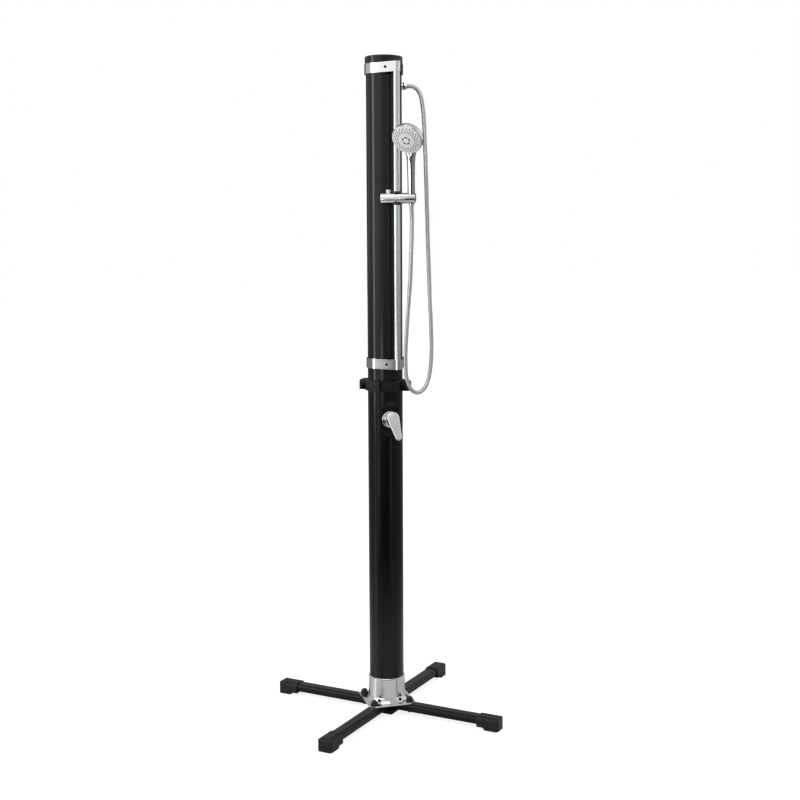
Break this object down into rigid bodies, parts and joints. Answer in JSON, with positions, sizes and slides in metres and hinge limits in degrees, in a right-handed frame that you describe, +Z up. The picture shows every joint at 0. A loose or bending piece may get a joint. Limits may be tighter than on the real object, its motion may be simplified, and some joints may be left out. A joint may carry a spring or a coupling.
{
  "type": "solar outdoor shower",
  "caption": "Free-standing solar shower: black two-part tank column on a cross of legs, with mixer lever, slide rail, sliding bracket, hand shower and metal hose.",
  "frame": {"origin": "on the ground under the axis of the column", "axes": "+Z up, -Y to the front where the mixer is, +X to the right of someone facing the front"},
  "size_m": [0.6202, 0.6202, 2.173],
  "materials": {
    "black_powder_coat": "satin",
    "black_moulded": "matte",
    "black_rubber": "matte",
    "chromed_casting": "satin",
    "zinc_steel": "satin",
    "black_steel": "satin",
    "black_hdpe": "satin",
    "black_hdpe_upper": "satin",
    "brass": "machined",
    "acetal": "smooth",
    "chrome": "polished",
    "satin_chrome": "satin",
    "pipe_plastic": "smooth",
    "stainless": "bright",
    "steel": "satin",
    "chromed_abs": "chrome plated",
    "light_abs": "satin",
    "silicone": "soft",
    "black_silicone": "soft",
    "metal_hose": "ribbed metal"
  },
  "bodies": {
    "stand": {"leg_bar_lower": "black_powder_coat", "leg_bar_upper": "black_powder_coat", "end_cap_front_right": "black_moulded", "end_cap_front_left": "black_moulded", "end_cap_rear_left": "black_moulded", "end_cap_rear_right": "black_moulded", "centre_pad": "black_rubber", "base_socket": "chromed_casting", "flange_bolts": "zinc_steel", "knob_nuts": "black_moulded", "socket_screws": "black_steel", "lower_column": "black_hdpe", "drain_plug": "black_hdpe", "inlet_fitting": "brass", "mixer_body": "brass", "mixer_cartridge": "acetal", "mixer_escutcheon": "chrome", "cold_pipe": "pipe_plastic", "hot_pipe": "pipe_plastic", "riser_pipe": "pipe_plastic", "union_seal": "black_rubber", "upper_column": "black_hdpe_upper", "top_cap": "black_hdpe", "cap_seal": "black_rubber", "upper_band": "stainless", "lower_band": "stainless", "upper_spacer": "black_hdpe", "lower_spacer": "black_hdpe", "band_liner": "black_hdpe", "band_screws": "steel", "slide_rail": "stainless", "rail_plugs": "black_hdpe", "outlet_fitting": "stainless", "outlet_washer": "black_rubber", "hose_nut": "chromed_abs", "shower_hose": "metal_hose"},
    "union_slip_ring": {"union_slip_ring": "acetal"},
    "union_nut": {"union_nut": "black_hdpe"},
    "mixer_dome": {"mixer_dome": "chrome"},
    "mixer_lever": {"mixer_lever": "satin_chrome"},
    "slider_bush": {"slider_bush": "acetal"},
    "slider_barrel": {"slider_barrel": "chromed_abs", "button_spring": "steel"},
    "slider_button": {"slider_button": "chromed_abs"},
    "handset_holder": {"handset_holder": "chromed_abs"},
    "hose_cone_nut": {"hose_cone_nut": "chromed_abs"},
    "handset": {"handset_body": "chromed_abs"},
    "spray_face": {"spray_face": "light_abs", "nozzle_mat": "silicone", "centre_jets": "black_silicone"}
  },
  "joints": [
    {"name": "union_nut_rise", "type": "slide", "parent": "stand", "child": "union_slip_ring", "axis": [0, 0, 1], "range_m": [0, 0.0091]},
    {"name": "union_nut_turn", "type": "hinge", "parent": "union_slip_ring", "child": "union_nut", "pos_m": [0, 0, 1.116], "axis": [0, 0, 1], "range_deg": [0, 540]},
    {"name": "mixer_turn", "type": "hinge", "parent": "stand", "child": "mixer_dome", "pos_m": [0, -0.0564, 1.004], "axis": [0, -1, 0], "range_deg": [-55, 35]},
    {"name": "lever_lift", "type": "hinge", "parent": "mixer_dome", "child": "mixer_lever", "pos_m": [0, -0.0664, 1.004], "axis": [-0.9848, 0, -0.1736], "range_deg": [0, 25]},
    {"name": "slider_slide", "type": "slide", "parent": "stand", "child": "slider_bush", "axis": [0, 0, 1], "range_m": [-0.49, 0.365], "deforming": ["shower_hose"]},
    {"name": "slider_swivel", "type": "hinge", "parent": "slider_bush", "child": "slider_barrel", "pos_m": [0.01322, -0.09408, 1.718], "axis": [0, 0, 1], "range_deg": [-3, 30]},
    {"name": "button_press", "type": "slide", "parent": "slider_barrel", "child": "slider_button", "axis": [0, 0, -1], "range_m": [0, 0.003], "stiffness_N_per_m": 800, "springref_m": -0.002, "deforming": ["button_spring"]},
    {"name": "holder_tilt", "type": "hinge", "parent": "slider_barrel", "child": "handset_holder", "pos_m": [0.01322, -0.09408, 1.718], "axis": [0.8988, -0.4384, 0], "range_deg": [-9, 25]},
    {"name": "handset_lift", "type": "slide", "parent": "handset_holder", "child": "hose_cone_nut", "axis": [-0.0899, -0.244, 0.9656], "range_m": [0, 0.06]},
    {"name": "handset_swivel", "type": "hinge", "parent": "hose_cone_nut", "child": "handset", "pos_m": [0.05344, -0.11873, 1.7349], "axis": [-0.0899, -0.244, 0.9656], "range_deg": [-10, 45]},
    {"name": "spray_face_turn", "type": "hinge", "parent": "handset", "child": "spray_face", "pos_m": [0.01651, -0.18603, 1.89362], "axis": [-0.556, -0.6031, -0.5719], "range_deg": [0, 120]}
  ],
  "couplings": [
    {"joint": "union_nut_rise", "follows": "union_nut_turn", "m_per_rad": 0.00095493}
  ]
}
